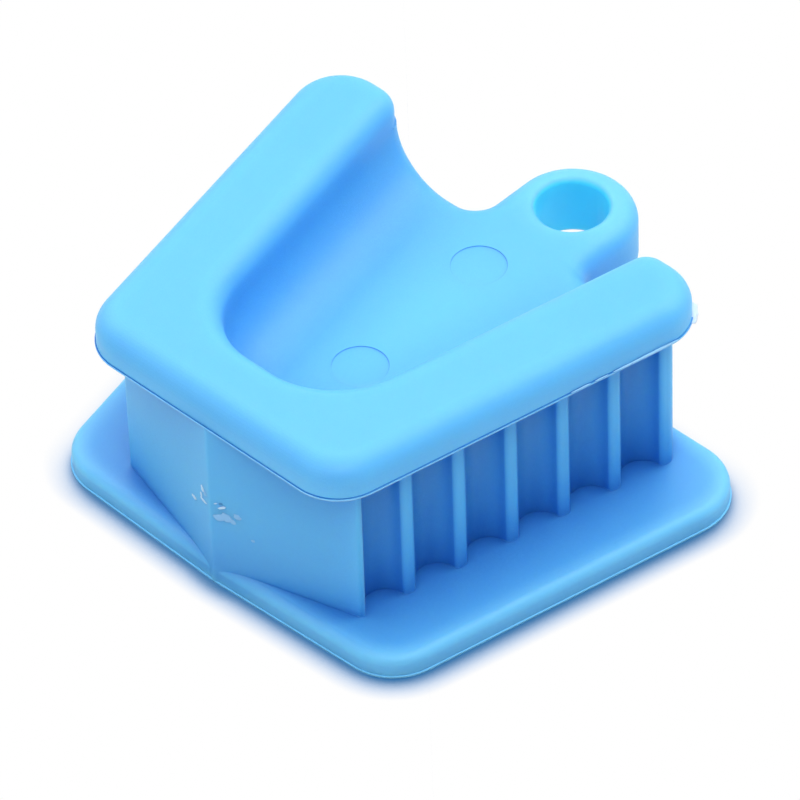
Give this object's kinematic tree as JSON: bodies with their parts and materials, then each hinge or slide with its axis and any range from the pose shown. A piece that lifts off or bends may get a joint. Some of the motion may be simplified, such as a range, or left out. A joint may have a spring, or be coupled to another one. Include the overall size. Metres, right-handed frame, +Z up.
{
  "type": "dental bite block",
  "caption": "Wedge-shaped mouth prop moulded in one piece: fluted biting walls between a guard plate and a flange, a recess between the arms and a ring for a suction tube",
  "frame": {"origin": "on the underside of the guard plate, under the middle of the overall length and width", "axes": "X along the plane of symmetry from the narrow end to the ring, Y across the width, Z up out of the underside"},
  "size_m": [0.053, 0.0562, 0.0225],
  "materials": {
    "body": "semi-matte, slightly translucent sky blue"
  },
  "bodies": {
    "root": {"bite_block": "body"}
  },
  "joints": []
}
